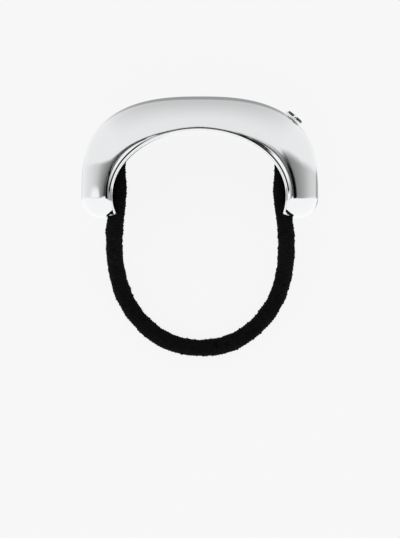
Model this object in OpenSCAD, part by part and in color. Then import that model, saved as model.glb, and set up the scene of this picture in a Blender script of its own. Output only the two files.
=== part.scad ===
// Ponytail cuff: a hollow, domed metal arch that lies over the hair, closed
// underneath by a knitted elastic loop. It lies on its side: the ponytail
// runs along Z, the arch crowns towards +Y and the loop hangs towards -Y.

/* [Cuff outline] */
// Width over the widest line of the outside
cuff_w = 59.2; // [54:0.2:66]
// Rise of the outside above its widest line
crown_h = 24.9; // [23.5:0.1:30]
// How far the leg ends run below the widest line
leg_drop = 5.4; // [5.2:0.1:8]
// Depth of the cuff along the ponytail
cuff_depth = 24; // [20:0.5:32]
// Squareness of the outside towards its sides, 2 is an ellipse
side_power = 2.6; // [2.2:0.1:3]
// Squareness of the outside towards its top, 2 is an ellipse
top_power = 2.9; // [2.2:0.1:3.4]
// Radius that rounds the sides into the leg ends
leg_end_r = 5; // [3.5:0.1:5]
// Radius that rounds the leg ends off towards the lips
leg_nose_r = 5; // [3:0.1:6]
// Squareness of the dome across the depth, 2 is an ellipse
dome_power = 2.2; // [1.9:0.1:2.8]

/* [Shell] */
// Thickness of the metal
wall = 1; // [0.95:0.05:1.4]
// Width of the lip's roll into the hair channel at the crown
crown_roll_w = 0.6; // [0.55:0.05:0.75]
// Width of the lip's roll in the legs
leg_roll_w = 1.75; // [1.2:0.05:2]
// Width of the lip's roll at the tips of the legs
tip_roll_w = 0.55; // [0.5:0.05:0.75]
// Fall of the lip's roll at the crown
crown_roll_drop = 1.1; // [0.8:0.05:1.3]
// Fall of the lip's roll in the legs
leg_roll_drop = 1.5; // [1.2:0.05:1.8]
// Thickness of the rim that a lip ends in
rim_w = 0.45; // [0.3:0.05:0.5]
// Width of the flat land on each lip, where the cuff rests
land_w = 0.3; // [0.2:0.05:0.5]

/* [Hair channel] */
// Width of the channel at its widest line
channel_w = 43.2; // [40:0.2:45]
// Rise of the channel above its widest line
channel_rise = 16.1; // [14:0.1:17]
// How far the channel edge runs below the widest line
channel_drop = 4.5; // [3.5:0.1:5]

/* [Elastic] */
// Thickness of the knitted elastic
elastic_d = 4.1; // [3.4:0.1:4.4]
// Room round the elastic where it leaves a leg end
notch_gap = 0.4; // [0.3:0.05:0.6]
// Thickness of the hidden keeper pin that holds the elastic in the crown
keeper_d = 1.5; // [1.2:0.1:1.6]
// Room between the keeper pin and the elastic
keeper_gap = 0.3; // [0.15:0.05:0.4]
// Room between each end of the keeper pin and the shell
keeper_end_gap = 0.2; // [0.15:0.05:0.3]

/* [Badge] */
// Width of the round badge
badge_d = 5.3; // [4.6:0.1:6]
// Thickness of the badge plate
badge_h = 0.4; // [0.3:0.05:0.6]
// Room between the badge plate and the dome
badge_gap = 0.06; // [0.04:0.01:0.1]
// Place of the badge along the crown, as an angle up from the widest line
badge_angle = 43; // [38:1:50]
// Width of the silver edge that stays free round the enamel
badge_edge = 0.45; // [0.35:0.05:0.6]
// Height of the enamel ring above the plate
enamel_h = 0.65; // [0.5:0.05:0.7]
// Room round the enamel ring
enamel_gap = 0.05; // [0.04:0.01:0.08]
// Width of the polished stud in the middle
stud_d = 1.7; // [1.4:0.1:2]
// Height of the stud above the plate
stud_h = 0.75; // [0.7:0.05:0.85]

/* [Hidden] */

half_w = cuff_w / 2;
half_depth = cuff_depth / 2;
// Shift that puts the middle of the cuff's outline on the origin
shift_y = (crown_h - leg_drop) / 2;

notch_r = elastic_d / 2 + notch_gap;
// Where the elastic crosses the leg ends
notch_x = 21.1;
// Width that is left of a section where it closes against the channel edge
tip_edge = 0.5;
// Largest part of a section's width that its lip may take
lip_limit = 0.4;
// Angles up from the widest line between which the lip widens from crown to leg
roll_from = 75;
roll_to = 30;
// Turn of a leg end's round over which the lip narrows to its tip
tip_turn = 45;
// How much lower the inner edge of a lip's rim ends than the outer one
rim_step = 0.1;

// Stations round half of the arch
arch_n = 18;
round_n = 6;
base_n = 4;
steps = arch_n + round_n + base_n + 1;

// Points across half of a section
notch_n = 4;
dome_n = 12;
lip_n = 4;
half_n = dome_n + 1 + lip_n;

function clamp01(v) = max(0, min(1, v));
function smooth(v) = let (t = clamp01(v)) t * t * (3 - 2 * t);

// Angle up from the widest line at a station of the arch, closer at its ends
function arch_angle(i) = 45 * (1 + cos(180 * i / arch_n));

// Part of the way from the widest line down to the tip of a leg, and from the
// leg's corner to its tip
function leg_share(i) = (i - arch_n) / (round_n + 1);
function base_share(i) = (i - arch_n - round_n - 1) / base_n;
// Angle turned through by the round of a leg end
function round_angle(i) = 90 * clamp01((i - arch_n - 1) / round_n);

// Edge of the hair channel, an ellipse that runs on to the tips of the legs
function channel_point(f) = [channel_w / 2 * cos(f), channel_rise * sin(f)];
function tip_angle(inset) = -asin((channel_drop - inset) / channel_rise);
function tip_x(inset) = channel_point(tip_angle(inset))[0];
function channel(i, inset) =
    i <= arch_n ? channel_point(arch_angle(i))
    : channel_point(tip_angle(inset) * clamp01(leg_share(i)));

// Widest line of the outside, or of the inside when it is inset by the wall
function arch_point(f, inset) = [
    (half_w - inset) * pow(cos(f), 2 / side_power),
    (crown_h - inset) * pow(sin(f), 2 / top_power)
];
function round_point(g, inset) = [
    half_w - leg_end_r + (leg_end_r - inset) * cos(g),
    leg_end_r - leg_drop - (leg_end_r - inset) * sin(g)
];

// The leg end closes at the channel edge, or short of it round the elastic
function close_x(j, inset) = max(
    tip_x(inset) + tip_edge,
    notch_x + sqrt(max(0, pow(notch_r, 2) - pow(rise(j, half_depth), 2)))
);
function base_point(k, j, inset) =
    let (
        corner_x = half_w - leg_end_r,
        x = corner_x + k * (close_x(j, inset) - corner_x),
        run = (corner_x - x) / (corner_x - tip_x(inset) - tip_edge)
    )
    [x, inset - leg_drop + (leg_drop - channel_drop) * (1 - cos(90 * run))];
function ridge(i, j, inset) =
    i <= arch_n ? arch_point(arch_angle(i), inset)
    : i <= arch_n + round_n + 1 ? round_point(round_angle(i), inset)
    : base_point(base_share(i), j, inset);

// Section across the depth: j runs from the near lip, -half_n, to the far lip.
// Its first points stand level with the notch, and the rest turn with the dome.
function notch_turn(n, h) = asin(pow(notch_r * sin(90 * n / notch_n) / h, dome_power / 2));
function dome_turn(j, h) =
    let (n = min(abs(j), dome_n), turn = notch_turn(notch_n, h))
    n <= notch_n ? notch_turn(n, h) : turn + (90 - turn) * (n - notch_n) / (dome_n - notch_n);
function lip_turn(j) = 90 * clamp01((abs(j) - dome_n - 1) / lip_n);
function rise(j, h) = -sign(j) * h * pow(sin(dome_turn(j, h)), 2 / dome_power);

// Half the depth of a section, less where a leg end rounds off
function section_h(i) = half_depth - leg_nose_r * (1 - cos(round_angle(i)));

// Width and fall of the lip's roll at a station where the section is w wide
function leg_part(i) =
    i <= arch_n ? smooth((roll_from - arch_angle(i)) / (roll_from - roll_to)) : 1;
function roll_w(i) =
    crown_roll_w + (leg_roll_w - crown_roll_w) * leg_part(i)
    + (tip_roll_w - leg_roll_w) * smooth(round_angle(i) / tip_turn);
function lip_w(i, w) = min(roll_w(i), lip_limit * w);
function roll_drop(i, w) =
    (crown_roll_drop + (leg_roll_drop - crown_roll_drop) * leg_part(i)) * lip_w(i, w) / roll_w(i);

// Distance of a section's point from the channel edge
function reach(i, j, w, h, inset) =
    let (
        lip = lip_w(i, w),
        land = min(land_w, lip_limit * w),
        rim = inset > 0 ? rim_w * lip / roll_w(i) : 0
    )
    abs(j) <= dome_n
    ? lip + land + (w - lip - land) * pow(cos(dome_turn(j, h)), 2 / dome_power)
    : lip - (lip - rim) * sin(lip_turn(j));
// How far the roll has fallen below the land, on the inside never past the rim
function roll_fall(i, j, w, inset) =
    (1 - cos(lip_turn(j)))
    * (inset > 0 ? max(0, roll_drop(i, w) + rim_step - inset) : roll_drop(i, w));

function section_point(i, j, inset) =
    let (
        a = channel(i, inset),
        b = ridge(i, j, inset),
        w = norm(b - a),
        h = section_h(i) - inset,
        p = a + reach(i, j, w, h, inset) / w * (b - a)
    )
    [p[0], p[1] - shift_y, rise(j, h) + sign(j) * roll_fall(i, j, w, inset)];
function flip(p) = [-p[0], p[1], p[2]];

// One layer of the shell: a row of points for every station, left tip to right
function layer(inset) = [
    for (i = [-steps : steps])
        for (j = [-half_n : half_n])
            i < 0 ? flip(section_point(-i, j, inset)) : section_point(i, j, inset)
];

function turn_over(face) = [for (k = [len(face) - 1 : -1 : 0]) face[k]];

module cuff_shell() {
    row = 2 * half_n + 1;
    rows = 2 * steps + 1;
    count = row * rows;
    outside = [
        for (i = [0 : rows - 2])
            for (j = [0 : row - 2])
                let (a = i * row + j, b = a + row)
                [a, a + 1, b + 1, b]
    ];
    inside = [for (face = outside) [for (v = turn_over(face)) v + count]];
    lips = [
        for (i = [0 : rows - 2])
            for (side = [0, 1])
                let (
                    a = i * row + side * (row - 1),
                    b = a + row,
                    face = [a, b, b + count, a + count]
                )
                side == 0 ? face : turn_over(face)
    ];
    tips = [
        for (j = [0 : row - 2])
            for (side = [0, 1])
                let (
                    a = j + side * (rows - 1) * row,
                    face = [a, a + count, a + 1 + count, a + 1]
                )
                side == 0 ? face : turn_over(face)
    ];
    color("silver")
        translate([0, 0, half_depth])
            polyhedron(
                points = concat(layer(0), layer(wall)),
                faces = concat(outside, inside, lips, tips),
                convexity = 8
            );
}

// Half of the elastic's route, from the crown to the bottom of the loop. The
// first part lies hidden in the shell, and the loop comes down to lie on the
// surface that the cuff lies on.
route_half = [
    [0, 10.75, 12], [4.1, 10.75, 12], [8.2, 10.75, 12],
    [13, 9.8, 12], [17.1, 7.1, 12], [19.8, 3, 12], [20.75, -1.75, 12],
    [20.5, -6, 12], [20.45, -10, 12], [20.9, -13.7, 11.9],
    [21.25, -16.5, 11.4], [21.5, -19.3, 10.4], [21.55, -22.1, 8.9],
    [21.45, -24.9, 7.2], [21.15, -27.7, 5.6], [20.6, -30.5, 4.2],
    [19.8, -33.3, 3.2], [18.6, -36.1, 2.5], [17, -38.8, 2.2],
    [14.9, -41.3, 2.1], [12.3, -43.7, 2.1], [9.2, -45.7, 2.1],
    [6, -47, 2.1], [3, -47.6, 2.1], [0, -47.8, 2.1]
];
route_n = len(route_half);
route = concat(
    route_half,
    [for (i = [route_n - 2 : -1 : 1]) flip(route_half[i])]
);

// The keeper pin stands just inside the elastic's crown, between the walls
keeper_y = route_half[0][1] - elastic_d / 2 - keeper_gap - keeper_d / 2;
keeper_h = cuff_depth - 2 * wall - 2 * keeper_end_gap;

module keeper_pin() {
    color("silver")
        translate([0, keeper_y, wall + keeper_end_gap])
            cylinder(d = keeper_d, h = keeper_h, $fn = 32);
}

// Frame of the badge: on the widest line, facing straight out of the dome
badge_at = arch_point(badge_angle, 0);
badge_facing = atan2(
    top_power * pow(badge_at[1] / crown_h, top_power - 1) / crown_h,
    side_power * pow(badge_at[0] / half_w, side_power - 1) / half_w
);

module at_badge(height) {
    translate([badge_at[0], badge_at[1] - shift_y, half_depth])
        rotate([0, 0, badge_facing])
            rotate([0, 90, 0])
                translate([0, 0, badge_gap + height])
                    children();
}

// Half section of a low round cap of width w that rises to h over its rim
module cap_section(w, rim, h) {
    crown = h - rim;
    ball_r = (w * w + crown * crown) / (2 * crown);
    intersection() {
        square([w, h]);
        translate([0, h - ball_r])
            circle(r = ball_r, $fn = 128);
    }
}

module badge() {
    color("silver")
        at_badge(0)
            rotate_extrude($fn = 64) {
                square([badge_d / 2, badge_h]);
                translate([0, badge_h])
                    cap_section(stud_d / 2, stud_h / 2, stud_h);
            }
}

module badge_enamel() {
    inner_r = stud_d / 2 + enamel_gap;
    outer_r = badge_d / 2 - badge_edge;
    middle_r = (inner_r + outer_r) / 2;
    color("#101010")
        at_badge(badge_h + enamel_gap)
            rotate_extrude($fn = 64)
                translate([middle_r, 0])
                    for (side = [0, 1])
                        mirror([side, 0])
                            cap_section((outer_r - inner_r) / 2, enamel_h / 2, enamel_h);
}

// Cord tube: one ring of points for every point of the route
function unit(v) = v / norm(v);
function route_dir(i) = unit(route[(i + 1) % len(route)] - route[(i + len(route) - 1) % len(route)]);

module elastic_loop() {
    sides = 10;
    rings = len(route);
    points = [
        for (i = [0 : rings - 1])
            let (
                along = route_dir(i),
                across = unit(cross(along, [0, 0, 1])),
                up = cross(across, along)
            )
            for (k = [0 : sides - 1])
                route[i] + elastic_d / 2 * (cos(360 * k / sides) * across + sin(360 * k / sides) * up)
    ];
    faces = [
        for (i = [0 : rings - 1])
            for (k = [0 : sides - 1])
                let (
                    next = (i + 1) % rings,
                    k2 = (k + 1) % sides
                )
                [i * sides + k, i * sides + k2, next * sides + k2, next * sides + k]
    ];
    color("#161616")
        polyhedron(points = points, faces = faces, convexity = 6);
}

cuff_shell();
keeper_pin();
badge();
badge_enamel();
elastic_loop();
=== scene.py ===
import math

import bpy
import numpy as np
from mathutils import Matrix, Vector


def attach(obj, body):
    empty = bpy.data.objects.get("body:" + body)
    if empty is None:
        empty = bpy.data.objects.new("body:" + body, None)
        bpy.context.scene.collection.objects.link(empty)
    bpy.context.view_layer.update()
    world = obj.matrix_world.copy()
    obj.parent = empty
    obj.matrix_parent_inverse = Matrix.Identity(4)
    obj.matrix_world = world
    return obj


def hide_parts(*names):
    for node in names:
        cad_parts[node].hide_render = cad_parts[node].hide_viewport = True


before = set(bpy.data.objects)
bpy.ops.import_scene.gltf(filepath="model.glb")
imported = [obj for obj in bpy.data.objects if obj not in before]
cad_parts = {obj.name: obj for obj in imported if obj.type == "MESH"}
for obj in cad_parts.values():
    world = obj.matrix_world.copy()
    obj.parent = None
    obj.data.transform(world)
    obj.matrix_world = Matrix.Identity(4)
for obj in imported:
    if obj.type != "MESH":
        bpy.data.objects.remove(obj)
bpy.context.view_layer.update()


# Camera
# The cuff lies on its side on a pale table, and the camera looks down through the
# hair channel with a long lens, just over a degree off the plumb line towards +X.
MM = 0.001
picture_height = 134.5 * MM
camera_distance = 2500 * MM
camera_lean = math.radians(1.3)
looked_at = Vector((0, -28, 12)) * MM
sensor_size = 36
back = Vector((math.sin(camera_lean), 0, math.cos(camera_lean)))
across = Vector((0, 1, 0)).cross(back)
camera_data = bpy.data.cameras.new("camera")
camera_data.sensor_width = sensor_size
camera_data.lens = sensor_size * camera_distance / picture_height
camera_data.clip_start = 0.05
camera_data.clip_end = 20
camera = bpy.data.objects.new("camera", camera_data)
camera_axes = Matrix((across, back.cross(across), back)).transposed()
camera_at = looked_at + back * camera_distance
camera.matrix_world = Matrix.Translation(camera_at) @ camera_axes.to_4x4()
bpy.context.scene.collection.objects.link(camera)
bpy.context.scene.camera = camera


# Elastic
# A round hair elastic: strands of rubber inside a knitted black nylon cover, joined
# end to end inside the left leg. It runs through the hollow crown round the keeper
# pin, comes out of both leg ends and lies down on the table.
elastic_d = 4.1
stitch_length = 0.72
wales = 14
rings_per_stitch = 4
sides_per_wale = 6
stitch_relief = 0.23
stitch_lean = 0.6
stitch_fullness = 0.7
stitch_unevenness = 0.35
sunk_relief = 0.55  # share of the relief inside the elastic's own thickness
swell_share = 0.012
swells_round = (3, 7, 11, 19, 31, 47)
table_room = 0.02
half_route = [
    # x, y, z from the middle of the crown to the far end of the loop
    [0, 10.75, 12], [4.1, 10.75, 12], [8.2, 10.75, 12],
    [13, 9.8, 12], [17.1, 7.1, 12], [19.8, 3, 12], [20.75, -1.75, 12],
    [20.5, -6, 12], [20.45, -10, 12], [20.9, -13.7, 11.9],
    [21.25, -16.5, 11.4], [21.5, -19.3, 10.4], [21.55, -22.1, 8.9],
    [21.45, -24.9, 7.2], [21.15, -27.7, 5.6], [20.6, -30.5, 4.2],
    [19.8, -33.3, 3.2], [18.6, -36.1, 2.5], [17, -38.8, 2.2],
    [14.9, -41.3, 2.1], [12.3, -43.7, 2.1], [9.2, -45.7, 2.1],
    [6, -47, 2.1], [3, -47.6, 2.1], [0, -47.8, 2.1],
]
seam = 6  # points of the route from the crown to the join


def closed_curve(points, count, fine_steps=40):
    """Even points along a smooth closed curve through the given ones, and its length."""
    points = np.array(points, float)
    fine = []
    for i in range(len(points)):
        a, b, c, d = (points[(i + k) % len(points)] for k in (-1, 0, 1, 2))
        for t in np.linspace(0, 1, fine_steps, endpoint=False):
            fine.append(
                0.5 * (2 * b + (c - a) * t + (2 * a - 5 * b + 4 * c - d) * t ** 2
                       + (3 * b - a - 3 * c + d) * t ** 3)
            )
    fine = np.array(fine + fine[:1])
    run = np.concatenate([[0], np.cumsum(np.linalg.norm(np.diff(fine, axis=0), axis=1))])
    at = np.linspace(0, run[-1], count, endpoint=False)
    return np.array([np.interp(at, run, fine[:, k]) for k in range(3)]).T, run[-1]


def unit(v):
    """Vectors brought to a length of 1."""
    return v / np.linalg.norm(v, axis=-1, keepdims=True)


left_half = [[-x, y, z] for x, y, z in half_route[-2:0:-1]]
route = half_route + left_half
start = len(route) - seam
route = [route[(start - k) % len(route)] for k in range(len(route))]
elastic_length = closed_curve(route, len(route))[1]
stitches = round(elastic_length / stitch_length)
rings = stitches * rings_per_stitch
sides = wales * sides_per_wale
centre, elastic_length = closed_curve(route, rings)
along = unit(np.roll(centre, -1, axis=0) - np.roll(centre, 1, axis=0))
beside = unit(np.cross(along, [0, 0, 1]))
above = np.cross(beside, along)

# Each wale is a column of V stitches: two rows of yarn that lean towards each other.
random = np.random.default_rng(7)
ring_at = np.arange(rings)[:, None] / rings_per_stitch
side_at = np.arange(sides)[None, :] / sides_per_wale
in_wale = 2 * (side_at % 1) - 1
lean = ring_at + stitch_lean * np.abs(in_wale)
yarn = np.sqrt(np.clip(1 - (2 * np.abs(in_wale) - 1) ** 2, 0, 1))
bead = np.abs(np.sin(math.pi * lean)) ** stitch_fullness
loose = random.normal(0, 1, (stitches, wales))
stitch_of = (
    np.floor(lean).astype(int) % stitches,
    np.broadcast_to(np.floor(side_at).astype(int), lean.shape),
)
height = yarn * bead * (1 + stitch_unevenness * loose[stitch_of])
full_turn = 2 * math.pi
swell = sum(
    random.normal(0, swell_share)
    * np.sin(full_turn * n * ring_at / stitches + random.uniform(0, full_turn))
    for n in swells_round
)
radius = (elastic_d / 2 - stitch_relief * sunk_relief) * (1 + swell) + stitch_relief * height
angle = full_turn * side_at / wales
outwards = (
    np.cos(angle)[..., None] * beside[:, None, :] + np.sin(angle)[..., None] * above[:, None, :]
)
elastic_points = centre[:, None, :] + radius[..., None] * outwards
elastic_points[..., 2] = np.maximum(elastic_points[..., 2], table_room)


def mesh_object(name, points, faces, materials):
    """A smooth mesh in millimetres made into an object in metres."""
    mesh = bpy.data.meshes.new(name)
    mesh.from_pydata((np.array(points, float).reshape(-1, 3) * MM).tolist(), [], faces)
    mesh.polygons.foreach_set("use_smooth", [True] * len(mesh.polygons))
    for material in materials:
        mesh.materials.append(material)
    mesh.update()
    made = bpy.data.objects.new(name, mesh)
    bpy.context.scene.collection.objects.link(made)
    return made


def colour(text):
    """An sRGB hex colour as linear RGBA."""
    values = [int(text[i:i + 2], 16) / 255 for i in (1, 3, 5)]
    return [v / 12.92 if v <= 0.04045 else ((v + 0.055) / 1.055) ** 2.4 for v in values] + [1]


def node(tree, kind, settings=None, links=None):
    """Adds a node, sets its properties and sockets, and links other nodes' outputs to it."""
    made = tree.nodes.new(kind)
    for key, value in (settings or {}).items():
        if isinstance(key, str) and hasattr(made, key):
            setattr(made, key, value)
        else:
            made.inputs[key].default_value = value
    for key, output in (links or {}).items():
        tree.links.new(output, made.inputs[key])
    return made


def new_material(name):
    """A new material without nodes, and its node tree."""
    made = bpy.data.materials.new(name)
    made.use_nodes = True
    made.node_tree.nodes.clear()
    return made, made.node_tree


# Knitted nylon: dull black yarn, painted a little lighter on the crown of each stitch in
# patches, as light falling on it, and painted nearly black in the grooves as shade, with a
# faint nap that catches the light.
# The nap is drawn three times as coarse as real fibres, or it wouldn't show.
crown_light_patch = 1.11
nap_width = 0.07
knitted_nylon, tree = new_material("knitted_black_nylon")
knit_height = node(tree, "ShaderNodeAttribute", {"attribute_name": "yarn_height"})
place = node(tree, "ShaderNodeTexCoord")
patchy_crown_light = node(tree, "ShaderNodeTexNoise",
            {"Scale": 1 / (crown_light_patch * MM), "Detail": 3, "Roughness": 0.6},
            {"Vector": place.outputs["Object"]})
mixed = node(tree, "ShaderNodeMath", {"operation": "MULTIPLY"},
             {0: knit_height.outputs["Fac"], 1: patchy_crown_light.outputs["Fac"]})
# Yarn height sets the colour: painted shade in the grooves, painted light on the crowns.
shade = node(tree, "ShaderNodeValToRGB", None, {"Fac": mixed.outputs[0]})
shade.color_ramp.elements[0].position = 0.05
shade.color_ramp.elements[0].color = colour("#030303")
shade.color_ramp.elements[1].position = 0.7
shade.color_ramp.elements[1].color = colour("#1c1c1c")
fibres = node(tree, "ShaderNodeTexNoise",
              {"Scale": 1 / (nap_width * MM), "Detail": 2, "Roughness": 0.7},
              {"Vector": place.outputs["Object"]})
nap = node(tree, "ShaderNodeBump", {"Strength": 0.5, "Distance": 0.04 * MM},
           {"Height": fibres.outputs["Fac"]})
surface = node(tree, "ShaderNodeBsdfPrincipled",
               {"Roughness": 0.9, "Specular IOR Level": 0.08, "Sheen Weight": 0.03,
                "Sheen Roughness": 0.4},
               {"Base Color": shade.outputs["Color"], "Normal": nap.outputs["Normal"]})
node(tree, "ShaderNodeOutputMaterial", None, {"Surface": surface.outputs[0]})

ring_faces = [
    (i * sides + k, i * sides + (k + 1) % sides,
     (i + 1) % rings * sides + (k + 1) % sides, (i + 1) % rings * sides + k)
    for i in range(rings) for k in range(sides)
]
elastic = mesh_object("knitted_elastic", elastic_points, ring_faces, [knitted_nylon])
yarn_height = elastic.data.attributes.new("yarn_height", "FLOAT", "POINT")
yarn_height.data.foreach_set("value", np.clip(height, 0, 1).reshape(-1).astype(np.float32))

# Loose fibre ends that stand off the knitting and blur its outline. None stand where the
# shell hides the elastic, in the mouths of the leg ends, or where it touches the table.
fibre_count = 7000
fibre_d = 0.02
fibre_lengths = (0.12, 0.5)
fibre_taper = (1, 0.8, 0.35)
fibre_spread = 0.75
fibre_curl = 0.35
least_stand_off = 0.15
hidden_from_y = 5
mouth_y = -14.5
mouth_room = 1.3
touching_below = 0.4
fibre_points = []
fibre_faces = []
for _ in range(fibre_count):
    i = int(random.integers(rings))
    k = int(random.integers(sides))
    root = elastic_points[i, k]
    in_mouth = abs(root[1] - mouth_y) < mouth_room
    if root[1] > hidden_from_y or in_mouth or root[2] < touching_below:
        continue
    out = outwards[i, k]
    aim = unit(out + random.normal(0, fibre_spread, 3))
    if aim @ out < least_stand_off:
        continue
    length = random.uniform(*fibre_lengths)
    curl = unit(random.normal(0, 1, 3)) * length * fibre_curl
    spine = [root - fibre_d * out, root + 0.55 * length * aim + 0.3 * curl, root + length * aim + curl]
    spine = [np.array([p[0], p[1], max(p[2], table_room + fibre_d / 2)]) for p in spine]
    side_a = unit(np.cross(aim, along[i] + 0.01))
    side_b = np.cross(aim, side_a)
    base = len(fibre_points)
    for p, thick in zip(spine, fibre_taper):
        for corner in range(3):
            t = full_turn * corner / 3
            out_of_spine = math.cos(t) * side_a + math.sin(t) * side_b
            fibre_points.append(p + fibre_d / 2 * thick * out_of_spine)
    for ring in (base, base + 3):
        for corner in range(3):
            after = (corner + 1) % 3
            fibre_faces.append((ring + corner, ring + after, ring + 3 + after, ring + 3 + corner))

# Loose nylon: single ends let some light past, so they look greyer than the knitting.
grey_patch = 1.43
nylon_fibre, tree = new_material("loose_nylon_fibre")
place = node(tree, "ShaderNodeTexCoord")
patchy = node(tree, "ShaderNodeTexNoise", {"Scale": 1 / (grey_patch * MM), "Detail": 1},
              {"Vector": place.outputs["Object"]})
shade = node(tree, "ShaderNodeValToRGB", None, {"Fac": patchy.outputs["Fac"]})
shade.color_ramp.elements[0].color = colour("#0c0c0d")
shade.color_ramp.elements[1].color = colour("#2a2a2c")
surface = node(tree, "ShaderNodeBsdfPrincipled", {"Roughness": 0.6, "Specular IOR Level": 0.3},
               {"Base Color": shade.outputs["Color"]})
node(tree, "ShaderNodeOutputMaterial", None, {"Surface": surface.outputs[0]})
fuzz = mesh_object("elastic_fuzz", fibre_points, fibre_faces, [nylon_fibre])

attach(elastic, "root")
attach(fuzz, "root")
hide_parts("elastic_loop")


# Shell
# One hollow arch of cast brass about a millimetre thick, its edges rolled over into the
# hair channel and its leg ends closed round the elastic. The outside is ground,
# mirror-polished and silver-plated; the inside is left as it came from the casting, and
# painted dark for the shade in the hollow.
half_w = 29.6
crown_h = 24.9
leg_drop = 5.4
half_depth = 12
side_power = 2.6
top_power = 2.9
leg_end_r = 5
leg_nose_r = 5
dome_power = 2.2
wall = 1
crown_roll_w = 0.6
leg_roll_w = 1.75
tip_roll_w = 0.55
crown_roll_drop = 1.1
leg_roll_drop = 1.5
roll_from = 75
roll_to = 30
tip_turn = math.radians(45)
rim_w = 0.45
rim_step = 0.1
land_w = 0.3
groove_at = 0.79
groove_w = 0.46
groove_depth = 0.08
groove_fade = 4  # degrees up the arch over which the groove runs out
dark_paint_fill = 3  # how much sooner than its own depth a groove looks full
tarnish_and_reflection_shares = [
    # degrees up the arch; how dark the groove is painted there on the left and the right, partly tarnish
    # and partly painted dark reflection
    [0, 0, 0], [4, 1, 1], [46, 1, 1], [60, 0.45, 1], [75, 0.7, 1], [90, 1, 1],
]
streak_rows = 10
# Streaks of painted dark reflection beside the groove on the lip.
painted_reflection_streaks = [
    # half (1 left, 2 right); degrees up the arch of its middle; half its length; its width;
    # its route, as degrees up the arch and how far in from the lip's edge it lies
    [1, 10, 19, 0.62, [[0, 1.42], [11, 1.68], [20, 2.05], [27, 2.5]]],
    [2, 51, 18, 0.56, [[40, 1.22], [50, 1.17], [62, 1.0]]],
    [2, 9, 21, 0.85, [[0, 2.3], [13, 2.47], [26, 2.95]]],
]
channel_half_w = 21.6
channel_rise = 16.1
channel_drop = 4.5
notch_x = 21.1
notch_r = elastic_d / 2 + 0.4
tip_edge = 0.5
tip_start = 1 / 7
lip_limit = 0.4
shift_y = (crown_h - leg_drop) / 2
arch_steps = 110
round_steps = 22
base_steps = 10
notch_steps = 6
dome_steps = 30
crest_closeness = 1.6
lip_steps = 36


def channel_edge(degrees):
    """A point of the channel's edge, by degrees up the arch."""
    t = math.radians(degrees)
    return np.array([channel_half_w * math.cos(t), channel_rise * math.sin(t)])


def widest_line(degrees, inset):
    """The point of the outside's widest line at the same degrees, moved in by the inset."""
    t = math.radians(degrees)
    return np.array([
        (half_w - inset) * max(0, math.cos(t)) ** (2 / side_power),
        (crown_h - inset) * max(0, math.sin(t)) ** (2 / top_power),
    ])


def smooth(t):
    """Eases a share from 0 to 1."""
    t = min(1, max(0, t))
    return t * t * (3 - 2 * t)


def section(across, half):
    """The dome at a step across it, as parts of the width past the lip and of the half
    depth. The first steps rise as far as the notch, the last ones crowd towards the lip."""
    level = min(1, notch_r / half)
    low = math.asin(level ** (dome_power / 2))
    if across <= notch_steps:
        rise = level * math.sin(math.pi / 2 * across / notch_steps)
        turn = math.asin(rise ** (dome_power / 2))
    else:
        left_over = max(0, 1 - (across - notch_steps) / (dome_steps - notch_steps))
        turn = math.pi / 2 - (math.pi / 2 - low) * left_over ** crest_closeness
    return max(0, math.cos(turn)) ** (2 / dome_power), math.sin(turn) ** (2 / dome_power)


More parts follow.
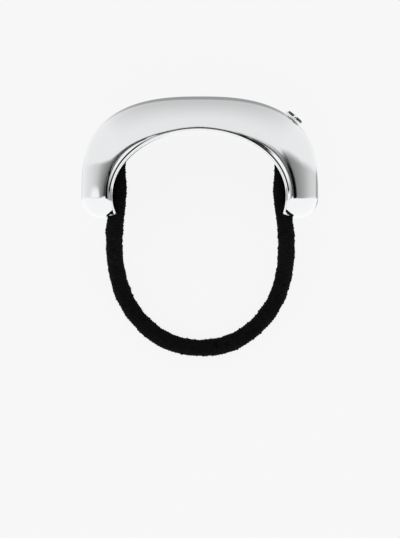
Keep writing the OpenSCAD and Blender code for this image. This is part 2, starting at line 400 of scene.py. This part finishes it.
def shell_point(station, step, inset, hand):
    """A point of the outer layer, or of the inner one when it is inset by the wall, and its
    share of tarnish and painted dark reflection. Hand is 1 for the left half and 2 for the right one."""
    side = -1 if step < 0 else 1
    step = abs(step)
    tip = -math.degrees(math.asin((channel_drop - inset) / channel_rise))
    nose = 0
    degrees = 0
    if station <= arch_steps:
        degrees = 45 * (1 + math.cos(math.pi * station / arch_steps))
        inner = channel_edge(degrees)
        outer = widest_line(degrees, inset)
    elif station <= arch_steps + round_steps + 1:
        nose = math.radians(90 * (station - arch_steps - 1) / round_steps)
        inner = channel_edge(tip * (tip_start + (1 - tip_start) * nose / (math.pi / 2)))
        outer = np.array([
            half_w - leg_end_r + (leg_end_r - inset) * math.cos(nose),
            leg_end_r - leg_drop - (leg_end_r - inset) * math.sin(nose),
        ])
    else:
        nose = math.pi / 2
        inner = channel_edge(tip)
        corner_x = half_w - leg_end_r
        half = half_depth - leg_nose_r - inset
        up = section(step, half)[1] * half
        close_x = max(inner[0] + tip_edge, notch_x + math.sqrt(max(0, notch_r ** 2 - up ** 2)))
        along_base = (station - arch_steps - round_steps - 1) / base_steps
        x = corner_x + along_base * (close_x - corner_x)
        run = (corner_x - x) / (corner_x - inner[0] - tip_edge)
        drop = (leg_drop - channel_drop) * (1 - math.cos(math.pi / 2 * run))
        outer = np.array([x, inset - leg_drop + drop])
    width = np.linalg.norm(outer - inner)
    leg = smooth((roll_from - degrees) / (roll_from - roll_to))
    roll_w = crown_roll_w + (leg_roll_w - crown_roll_w) * leg
    roll_w += (tip_roll_w - leg_roll_w) * smooth(nose / tip_turn)
    lip = min(roll_w, lip_limit * width)
    land = min(land_w, lip_limit * width)
    drop = (crown_roll_drop + (leg_roll_drop - crown_roll_drop) * leg) * lip / roll_w
    roll = math.pi / 2 * min(1, max(0, step - dome_steps - 1) / lip_steps)
    half = half_depth - leg_nose_r * (1 - math.cos(nose)) - inset
    out, up = section(step, half)
    height = up * half
    if step <= dome_steps:
        reach = lip + land + (width - lip - land) * out
    elif inset:
        reach = lip - (lip - rim_w * lip / roll_w) * math.sin(roll)
        height -= max(0, drop + rim_step - inset) * (1 - math.cos(roll))
    else:
        reach = lip * (1 - math.sin(roll))
        height -= drop * (1 - math.cos(roll))
    tarnish_and_painted_reflection = 0
    cut = 0
    # Dark paint along the lip: tarnish mixed with painted dark reflection in the groove, and streaks of
    # painted dark reflection beside it, on each half as listed.
    if not inset and step >= dome_steps - streak_rows:
        groove = max(0, 1 - abs(reach - groove_at) / (groove_w / 2)) * smooth(degrees / groove_fade)
        cut = groove_depth * groove * smooth((lip - groove_at) / groove_w)
        shares = np.array(tarnish_and_reflection_shares)
        tarnish_and_painted_reflection = min(1, dark_paint_fill * groove) * np.interp(degrees, shares[:, 0], shares[:, hand])
        for half_with_it, middle, length, broad, streak_route in painted_reflection_streaks:
            if half_with_it == hand and nose == 0:
                streak_at = np.interp(degrees, *np.array(streak_route).T)
                streak = max(0, 1 - abs(reach - streak_at) / (broad / 2))
                fade = smooth(2 * (1 - abs(degrees - middle) / length))
                tarnish_and_painted_reflection = max(tarnish_and_painted_reflection, min(1, dark_paint_fill * streak) * fade)
    x, y = inner + reach / width * (outer - inner)
    return [x, y - shift_y, half_depth + side * (height - cut), tarnish_and_painted_reflection]


stations = arch_steps + round_steps + base_steps + 1
half_steps = dome_steps + 1 + lip_steps
row = 2 * half_steps + 1
shell_points = []
for inset in (0, wall):
    left, right = (
        np.array([
            [shell_point(station, step, inset, hand) for step in range(half_steps, -half_steps - 1, -1)]
            for station in range(stations + 1)
        ])
        for hand in (1, 2)
    )
    shell_points.append(np.concatenate([left[:0:-1] * [-1, 1, 1, 1], right]))
rows = 2 * stations + 1
count = row * rows
outer_faces = [
    (i * row + j, i * row + j + 1, (i + 1) * row + j + 1, (i + 1) * row + j)
    for i in range(rows - 1) for j in range(row - 1)
]
inner_faces = [tuple(v + count for v in reversed(face)) for face in outer_faces]

# The wall's edges: along both lips, then across the two ends.
edge_faces = []
for i in range(rows - 1):
    a, b = i * row, (i + 1) * row
    edge_faces.append((a, b, b + count, a + count))
    a, b = a + row - 1, b + row - 1
    edge_faces.append((a + count, b + count, b, a))
for j in range(row - 1):
    a = j
    edge_faces.append((a, a + count, a + 1 + count, a + 1))
    a = j + (rows - 1) * row
    edge_faces.append((a + 1, a + 1 + count, a + count, a))

# Polished silver plate: a clear mirror, a touch cool, with the faintest ripple of hand
# polishing, a few softer patches where fingers have been, dark colour in the fine groove
# along the rim of each lip, partly tarnish and partly painted dark reflection, and short
# streaks of painted dark reflection beside it.
finger_patch = 9.1
polishing_ripple = 6.25
polished_silver, tree = new_material("mirror_polished_silver_plate")
place = node(tree, "ShaderNodeTexCoord")
smudge = node(tree, "ShaderNodeTexNoise",
              {"Scale": 1 / (finger_patch * MM), "Detail": 4, "Roughness": 0.55},
              {"Vector": place.outputs["Object"]})
gloss = node(tree, "ShaderNodeMapRange",
             {"From Min": 0.35, "From Max": 0.75, "To Min": 0.045, "To Max": 0.085},
             {"Value": smudge.outputs["Fac"]})
ripple = node(tree, "ShaderNodeTexNoise",
              {"Scale": 1 / (polishing_ripple * MM), "Detail": 1, "Roughness": 0.4},
              {"Vector": place.outputs["Object"]})
bump = node(tree, "ShaderNodeBump", {"Strength": 0.04, "Distance": 0.08 * MM},
            {"Height": ripple.outputs["Fac"]})
# The attribute darkens and dulls the mirror with tarnish and painted dark reflection.
held = node(tree, "ShaderNodeAttribute", {"attribute_name": "tarnish_and_painted_reflection"})
tarnish_and_reflection_colour = node(tree, "ShaderNodeMix",
                 {"data_type": "RGBA", 6: colour("#eeeff0"), 7: colour("#1b1a1a")},
                 {0: held.outputs["Fac"]})
dulled = node(tree, "ShaderNodeMath", {"operation": "MULTIPLY_ADD", 1: 0.08},
              {0: held.outputs["Fac"], 2: gloss.outputs[0]})
surface = node(tree, "ShaderNodeBsdfPrincipled", {"Metallic": 1},
               {"Base Color": tarnish_and_reflection_colour.outputs[2], "Roughness": dulled.outputs[0],
                "Normal": bump.outputs["Normal"]})
node(tree, "ShaderNodeOutputMaterial", None, {"Surface": surface.outputs[0]})

# Blasted casting skin that no polishing reaches: dull, evenly grained, patchy in tone,
# and painted dark as the shade inside the hollow.
# The grain is drawn twice as coarse as real blasting grit, or it wouldn't show.
blasting_grain = 0.2
tone_patch = 3.85
blasted_skin, tree = new_material("blasted_casting_painted_dark")
place = node(tree, "ShaderNodeTexCoord")
grain = node(tree, "ShaderNodeTexNoise",
             {"Scale": 1 / (blasting_grain * MM), "Detail": 2, "Roughness": 0.6},
             {"Vector": place.outputs["Object"]})
patchy = node(tree, "ShaderNodeTexNoise", {"Scale": 1 / (tone_patch * MM), "Detail": 3},
              {"Vector": place.outputs["Object"]})
shade = node(tree, "ShaderNodeValToRGB", None, {"Fac": patchy.outputs["Fac"]})
shade.color_ramp.elements[0].position = 0.3
shade.color_ramp.elements[0].color = colour("#57585b")
shade.color_ramp.elements[1].position = 0.75
shade.color_ramp.elements[1].color = colour("#7d7e81")
bump = node(tree, "ShaderNodeBump", {"Strength": 0.35, "Distance": 0.06 * MM},
            {"Height": grain.outputs["Fac"]})
surface = node(tree, "ShaderNodeBsdfPrincipled", {"Metallic": 1, "Roughness": 0.44},
               {"Base Color": shade.outputs["Color"], "Normal": bump.outputs["Normal"]})
node(tree, "ShaderNodeOutputMaterial", None, {"Surface": surface.outputs[0]})

# Filed edge where each leg end closes round the elastic: smoother than the casting skin and
# painted nearly black as the shade in the mouths, so they read as dark.
file_mottle = 0.385
cut_edge_painted_dark, tree = new_material("cut_edge_painted_shade")
place = node(tree, "ShaderNodeTexCoord")
mottle = node(tree, "ShaderNodeTexNoise", {"Scale": 1 / (file_mottle * MM), "Detail": 2},
              {"Vector": place.outputs["Object"]})
shade = node(tree, "ShaderNodeValToRGB", None, {"Fac": mottle.outputs["Fac"]})
shade.color_ramp.elements[0].color = colour("#121111")
shade.color_ramp.elements[1].color = colour("#2b2a29")
surface = node(tree, "ShaderNodeBsdfPrincipled", {"Metallic": 1, "Roughness": 0.4},
               {"Base Color": shade.outputs["Color"]})
node(tree, "ShaderNodeOutputMaterial", None, {"Surface": surface.outputs[0]})

shell_points = np.concatenate(shell_points).reshape(-1, 4)
shell = mesh_object("polished_arch", shell_points[:, :3], outer_faces + inner_faces + edge_faces,
                    [polished_silver, blasted_skin, cut_edge_painted_dark])
tarnish_and_reflection_at = shell.data.attributes.new("tarnish_and_painted_reflection", "FLOAT", "POINT")
tarnish_and_reflection_at.data.foreach_set("value", shell_points[:, 3].astype(np.float32))
cut_ends = 2 * (row - 1)  # the last edge faces, which close round the elastic
finish = [0] * len(outer_faces) + [1] * len(inner_faces)
finish += [0] * (len(edge_faces) - cut_ends) + [2] * cut_ends
shell.data.polygons.foreach_set("material_index", finish)
shell.data.set_sharp_from_angle(angle=math.radians(50))
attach(shell, "root")
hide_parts("cuff_shell")


# Keeper pin
# A plain brass pin across the inside of the crown, plated with the shell, that the
# elastic lies over so that it can't be pulled out of the hollow.

# Drawn wire, plated: the fine lines along its length stretch each highlight.
drawn_line = 0.11
line_stretch = 25
drawn_pin, tree = new_material("plated_drawn_pin")
place = node(tree, "ShaderNodeTexCoord")
stretch = node(tree, "ShaderNodeMapping", {"Scale": (1, 1, 1 / line_stretch)},
               {"Vector": place.outputs["Object"]})
drawn = node(tree, "ShaderNodeTexNoise", {"Scale": 1 / (drawn_line * MM), "Detail": 2},
             {"Vector": stretch.outputs["Vector"]})
gloss = node(tree, "ShaderNodeMapRange", {"To Min": 0.18, "To Max": 0.34},
             {"Value": drawn.outputs["Fac"]})
surface = node(tree, "ShaderNodeBsdfPrincipled",
               {"Base Color": colour("#d6d7d9"), "Metallic": 1},
               {"Roughness": gloss.outputs[0]})
node(tree, "ShaderNodeOutputMaterial", None, {"Surface": surface.outputs[0]})
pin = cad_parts["keeper_pin"]
pin.data.materials.clear()
pin.data.materials.append(drawn_pin)


# Badge
# A small turned brass disc soldered to the dome at the upper right: a plate with a
# softened rim, a black enamel ring fired on it and a polished stud in the middle.
badge_d = 5.3
badge_h = 0.4
badge_gap = 0.06
badge_angle = 43
badge_edge = 0.45
badge_round = 0.12
enamel_h = 0.65
enamel_gap = 0.05
stud_d = 1.7
stud_h = 0.75
stud_foot = 0.02
bridge_w = 0.9
segments = 96


def turned(name, profile, materials):
    """A piece turned from a half section, set on the dome and facing straight out of it."""
    at = widest_line(badge_angle, 0)
    face_x = side_power * (at[0] / half_w) ** (side_power - 1) / half_w
    face_y = top_power * (at[1] / crown_h) ** (top_power - 1) / crown_h
    facing = unit(np.array([face_x, face_y, 0]))
    sideways = np.array([-facing[1], facing[0], 0])
    along_hair = np.array([0, 0, 1])
    origin = np.array([at[0], at[1] - shift_y, half_depth]) + badge_gap * facing
    points = []
    for r, h in profile:
        for k in range(segments):
            t = full_turn * k / segments
            points.append(origin + h * facing + r * (math.cos(t) * sideways + math.sin(t) * along_hair))
    faces = []
    for i in range(len(profile) - 1):
        near = i * segments
        far = near + segments
        for k in range(segments):
            after = (k + 1) % segments
            faces.append((near + k, near + after, far + after, far + k))
    return mesh_object(name, points, faces, materials)


def arc(r, h, width, rise, start, end, count):
    """Points of a half section along part of a round about r and h."""
    return [(r + width * math.cos(t), h + rise * math.sin(t)) for t in np.linspace(start, end, count)]


quarter = math.pi / 2
badge_r = badge_d / 2
stud_r = stud_d / 2
plate_profile = (
    [(0.001, 0), (badge_r - badge_round, 0)]
    + arc(badge_r - badge_round, badge_round, badge_round, badge_round, 0.3 - quarter, 0, 5)
    + arc(badge_r - badge_round, badge_h - badge_round, badge_round, badge_round, 0, quarter, 6)
    + [(badge_r - badge_edge, badge_h), (stud_r + 0.001, badge_h)]
    + [(stud_r, badge_h + stud_foot), (stud_r, badge_h + stud_h / 2)]
    + arc(0, badge_h + stud_h / 2, stud_r, stud_h / 2, 0.1, 0.999 * quarter, 12)
)
enamel_in = stud_r + enamel_gap
enamel_out = badge_r - badge_edge
enamel_mid = (enamel_in + enamel_out) / 2
enamel_base = badge_h + enamel_gap
enamel_side = enamel_base + enamel_h / 2
enamel_profile = (
    [(enamel_in, enamel_base), (enamel_out, enamel_base), (enamel_out, enamel_side)]
    + arc(enamel_mid, enamel_side, enamel_out - enamel_mid, enamel_h / 2, 0.12, math.pi - 0.12, 14)
    + [(enamel_in, enamel_side), (enamel_in, enamel_base)]
)

# Fired enamel: deep black glass with a wet gloss and a slight orange-peel swell.
orange_peel = 1.11
black_enamel, tree = new_material("fired_black_enamel")
place = node(tree, "ShaderNodeTexCoord")
peel = node(tree, "ShaderNodeTexNoise", {"Scale": 1 / (orange_peel * MM), "Detail": 1},
            {"Vector": place.outputs["Object"]})
bump = node(tree, "ShaderNodeBump", {"Strength": 0.08, "Distance": 0.05 * MM},
            {"Height": peel.outputs["Fac"]})
depth_of_black = node(tree, "ShaderNodeValToRGB", None, {"Fac": peel.outputs["Fac"]})
depth_of_black.color_ramp.elements[0].color = colour("#060607")
depth_of_black.color_ramp.elements[1].color = colour("#101012")
surface = node(tree, "ShaderNodeBsdfPrincipled",
               {"Roughness": 0.08, "IOR": 1.5, "Coat Weight": 0.3, "Coat Roughness": 0.03},
               {"Base Color": depth_of_black.outputs["Color"], "Normal": bump.outputs["Normal"]})
node(tree, "ShaderNodeOutputMaterial", None, {"Surface": surface.outputs[0]})

badge = turned("badge_plate_and_stud", plate_profile, [polished_silver])
enamel = turned("badge_enamel_ring", enamel_profile, [black_enamel, polished_silver])

# Four bare silver bridges part the ring in quarters.
bridge_turn = math.asin(bridge_w / 2 / enamel_out)
for face in enamel.data.polygons:
    turn = full_turn * (face.index % segments + 0.5) / segments
    if abs((turn + quarter / 2) % quarter - quarter / 2) < bridge_turn:
        face.material_index = 1
badge.data.set_sharp_from_angle(angle=math.radians(50))
enamel.data.set_sharp_from_angle(angle=math.radians(60))
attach(badge, "root")
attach(enamel, "root")
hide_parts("badge")
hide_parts("badge_enamel")


# Table and light
# The table is a lit sheet of white acrylic, even and nearly without shadow. The metal
# mirrors the studio: a white wall on the +Y side, brighter white on the -Y side, and
# between them a slot along X, grey at its ends and black overhead round the camera.
table_white = 0.9216
table_bounce = 0.04
table_half = 3000
corners = [(-1, -1), (1, -1), (1, 1), (-1, 1)]
table = mesh_object("light_table", [[i * table_half, j * table_half, 0] for i, j in corners],
                    [(0, 1, 2, 3)], [])

# Lit acrylic: an even glow of its own, with just enough bounce for the softest shadow.
lit_acrylic, tree = new_material("lit_white_acrylic")
glow = node(tree, "ShaderNodeEmission",
            {"Color": (1, 1, 1, 1), "Strength": table_white - table_bounce})
sheet = node(tree, "ShaderNodeBsdfDiffuse", {"Color": (0.06, 0.06, 0.06, 1)})
both = node(tree, "ShaderNodeAddShader", None, {0: glow.outputs[0], 1: sheet.outputs[0]})
node(tree, "ShaderNodeOutputMaterial", None, {"Surface": both.outputs[0]})
table.data.materials.append(lit_acrylic)
table.visible_glossy = False

back_wall = 0.94
front_white = 1.05
slot_width = 0.035
slot_greys = [
    # degrees round the slot from straight up, towards +X; brightness
    [-150, 0.92], [-90, 0.76], [-60, 0.63], [-8, 0.2], [-2, 0.03], [11, 0.02], [16, 0.19],
    [22, 0.27], [75, 0.44], [120, 0.68], [160, 0.77],
]
slot_openings = [
    # degrees round the slot; how far its +Y edge stands off for every unit along X
    [-180, 0.1], [-150, 0.2], [-125, 0.21], [-50, 0.4], [-12, 0.54], [0, 0.65], [14, 0.94],
    [45, 0.63], [77, 0.4], [144, 0.16], [180, 0.1],
]
cards = [
    # a card or lamp of the studio: its middle and its half sizes, as directions, how much
    # it hides of what is behind it, and its brightness
    [[0, 0.36, -1], [0.26, 0.28, 0.6], 0.45, 0],
    [[0.17, -0.055, -1], [0.1, 0.05, 0.2], 0.75, 0],
    [[0.34, 0.012, -0.94], [0.14, 0.04, 0.12], 0.5, 0],
    [[-0.17, 0.01, -0.98], [0.1, 0.04, 0.12], 0.25, 0],
    [[0.15, 0, 1], [0.15, 0.12, 0.6], 0.95, 0],
    [[-0.85, -0.01, 0.4], [0.45, 0.09, 0.7], 0.95, 1.05],
]
world = bpy.data.worlds.new("studio")
world.use_nodes = True
tree = world.node_tree
tree.nodes.clear()
direction = node(tree, "ShaderNodeTexCoord")
parts = node(tree, "ShaderNodeSeparateXYZ", None, {0: direction.outputs["Generated"]})
x, y, z = parts.outputs

# How far to the side of the slot a direction lies: 1 at its +Y edge, 0 in its middle and
# less on its -Y side. The slot is a wedge along X, widest overhead and nearly shut below.
sideways = node(tree, "ShaderNodeMath", {"operation": "ABSOLUTE"}, {0: x})
breadth = node(tree, "ShaderNodeMath", {"operation": "ADD", 1: slot_width}, {0: sideways.outputs[0]})
angle_round = node(tree, "ShaderNodeMath", {"operation": "ARCTAN2"}, {0: x, 1: z})
place_round = node(tree, "ShaderNodeMapRange", {"From Min": -math.pi, "From Max": math.pi},
                   {"Value": angle_round.outputs[0]})
ramps = []
for stops in (slot_greys, slot_openings):
    ramp = node(tree, "ShaderNodeValToRGB", None, {"Fac": place_round.outputs[0]})
    for k, (degrees, value) in enumerate(stops):
        position = 0.5 + degrees / 360
        stop = ramp.color_ramp.elements[k] if k < 2 else ramp.color_ramp.elements.new(position)
        stop.position = position
        stop.color = (value, value, value, 1)
    ramps.append(ramp)
slot, opening = ramps
limit = node(tree, "ShaderNodeMath", {"operation": "MULTIPLY"},
             {0: breadth.outputs[0], 1: opening.outputs["Color"]})
aside = node(tree, "ShaderNodeMath", {"operation": "DIVIDE"}, {0: y, 1: limit.outputs[0]})

# The +Y edge is softer towards +X. The -Y edge flares out towards the ends of the slot,
# most of all overhead.
softness = node(tree, "ShaderNodeMapRange",
                {"From Min": 0, "From Max": 0.3, "To Min": 0.86, "To Max": 0.62}, {"Value": x})
to_back = node(tree, "ShaderNodeMapRange", {"interpolation_type": "SMOOTHSTEP", "From Max": 1.05},
               {"Value": aside.outputs[0], "From Min": softness.outputs[0]})
flare = node(tree, "ShaderNodeMapRange", {"From Min": -1, "To Min": -0.1, "To Max": 0.4}, {"Value": z})
flared = node(tree, "ShaderNodeMath", {"operation": "MULTIPLY"},
              {0: sideways.outputs[0], 1: flare.outputs[0]})
offset = node(tree, "ShaderNodeMath", {"operation": "ADD"},
              {0: aside.outputs[0], 1: flared.outputs[0]})
to_front = node(tree, "ShaderNodeMapRange",
                {"interpolation_type": "SMOOTHSTEP", "From Min": 0.1, "From Max": -0.55},
                {"Value": offset.outputs[0]})

# The wall dims towards its foot, most in the middle, where the camera stand shades it.
deep = node(tree, "ShaderNodeMath", {"operation": "MAXIMUM", 1: 0.05}, {0: y})
bearing = node(tree, "ShaderNodeMath", {"operation": "DIVIDE"},
               {0: sideways.outputs[0], 1: deep.outputs[0]})
middle = node(tree, "ShaderNodeMapRange",
              {"interpolation_type": "SMOOTHSTEP", "From Min": 1.1, "From Max": 0.1},
              {"Value": bearing.outputs[0]})
foot = node(tree, "ShaderNodeMapRange",
            {"From Min": 0.85, "From Max": -0.6, "To Min": 0.04, "To Max": 0.32}, {"Value": z})
dimmed = node(tree, "ShaderNodeMath", {"operation": "MULTIPLY"},
              {0: middle.outputs[0], 1: foot.outputs[0]})
wall_light = node(tree, "ShaderNodeMapRange", {"To Min": back_wall, "To Max": 0},
                  {"Value": dimmed.outputs[0]})
with_back = node(tree, "ShaderNodeMix", {"data_type": "RGBA"},
                 {0: to_back.outputs[0], 6: slot.outputs["Color"], 7: wall_light.outputs[0]})
with_front = node(tree, "ShaderNodeMix", {"data_type": "RGBA", 7: [front_white] * 3 + [1]},
                  {0: to_front.outputs[0], 6: with_back.outputs[2]})

# The cards hang in front of all this, each with soft edges.
studio = with_front.outputs[2]
for middle_at, half_size, cover, brightness in cards:
    moved = node(tree, "ShaderNodeMapping",
                 {"Location": [-m / h for m, h in zip(middle_at, half_size)],
                  "Scale": [1 / h for h in half_size]},
                 {"Vector": direction.outputs["Generated"]})
    away = node(tree, "ShaderNodeVectorMath", {"operation": "LENGTH"}, {0: moved.outputs[0]})
    card = node(tree, "ShaderNodeMapRange",
                {"interpolation_type": "SMOOTHSTEP", "From Min": 1.25, "From Max": 0.6, "To Max": cover},
                {"Value": away.outputs["Value"]})
    with_card = node(tree, "ShaderNodeMix", {"data_type": "RGBA", 7: [brightness] * 3 + [1]},
                     {0: card.outputs[0], 6: studio})
    studio = with_card.outputs[2]

# Past the table the camera sees the same plain white, not the studio.
seen = node(tree, "ShaderNodeLightPath")
plain = node(tree, "ShaderNodeMix", {"data_type": "RGBA", 7: [table_white] * 3 + [1]},
             {0: seen.outputs["Is Camera Ray"], 6: studio})
light = node(tree, "ShaderNodeBackground", {"Strength": 1}, {"Color": plain.outputs[2]})
node(tree, "ShaderNodeOutputWorld", None, {"Surface": light.outputs[0]})
bpy.context.scene.world = world
bpy.context.scene.view_settings.view_transform = "Standard"
